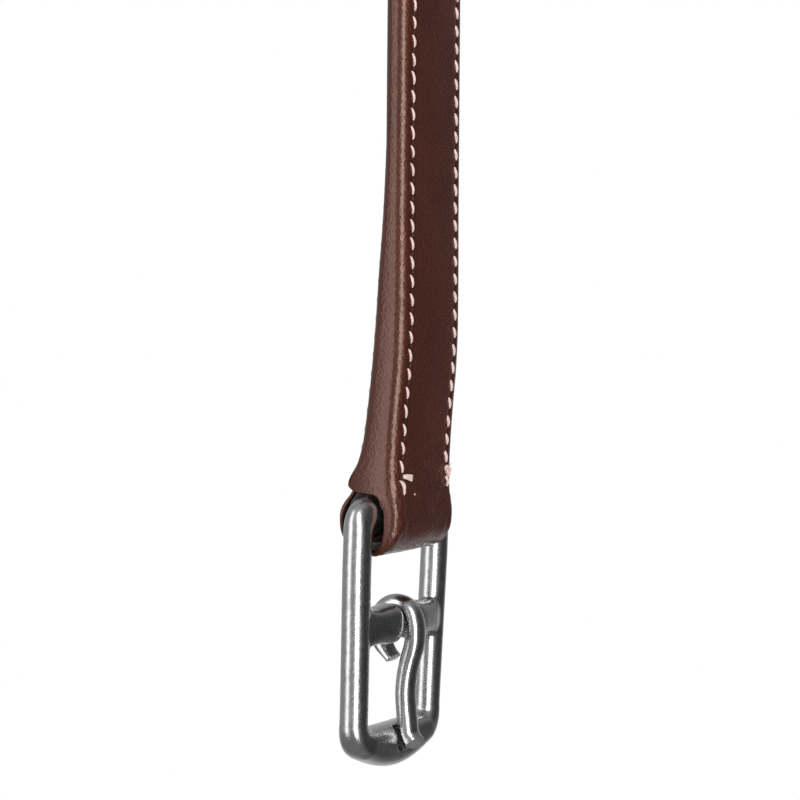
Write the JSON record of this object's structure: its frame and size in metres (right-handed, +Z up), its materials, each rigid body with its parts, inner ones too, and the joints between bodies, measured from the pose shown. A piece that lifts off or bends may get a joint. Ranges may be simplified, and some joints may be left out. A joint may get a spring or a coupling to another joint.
{
  "type": "stirrup leather with centre-bar buckle",
  "caption": "Rolled wrapped-leather riding strap with stitched edges, its lower end folded round the top bar of a cast three-bar buckle with a swinging tongue.",
  "frame": {"origin": "centre of the eye in the strap's roll, where a peg holds it up", "axes": "+X across the strap, +Z up, and the strap's stitched front faces -Y; the buckle hangs at the bottom"},
  "size_m": [0.0392, 0.0899, 0.2901],
  "materials": {
    "cover_leather": "dark brown wrapped leather, fine grain, semi-gloss",
    "lining_leather": "dark brown leather, matt",
    "core_webbing": "black woven webbing",
    "thread": "cream twisted thread",
    "keeper_leather": "dark brown leather",
    "buckle_steel": "cast stainless steel, tumbled and polished",
    "tongue_steel": "bent stainless steel, polished"
  },
  "bodies": {
    "strap": {"cover_leather": "cover_leather", "back_strip": "lining_leather", "bar_lining": "lining_leather", "fold_wedge": "lining_leather", "core_webbing": "core_webbing", "front_thread_left": "thread", "front_thread_right": "thread", "back_thread_left": "thread", "back_thread_right": "thread", "back_tack_left": "thread", "back_tack_right": "thread", "roll_keeper": "keeper_leather"},
    "frame": {"buckle_frame": "buckle_steel"},
    "tongue": {"buckle_tongue": "tongue_steel"}
  },
  "joints": [
    {"name": "buckle_swing", "type": "hinge", "parent": "strap", "child": "frame", "pos_m": [0, 0.01181, -0.19], "axis": [1, 0, 0], "range_deg": [-75, 100]},
    {"name": "tongue_pivot", "type": "hinge", "parent": "frame", "child": "tongue", "pos_m": [0, 0.01191, -0.21381], "axis": [-1, 0, 0], "range_deg": [0, 110]}
  ]
}
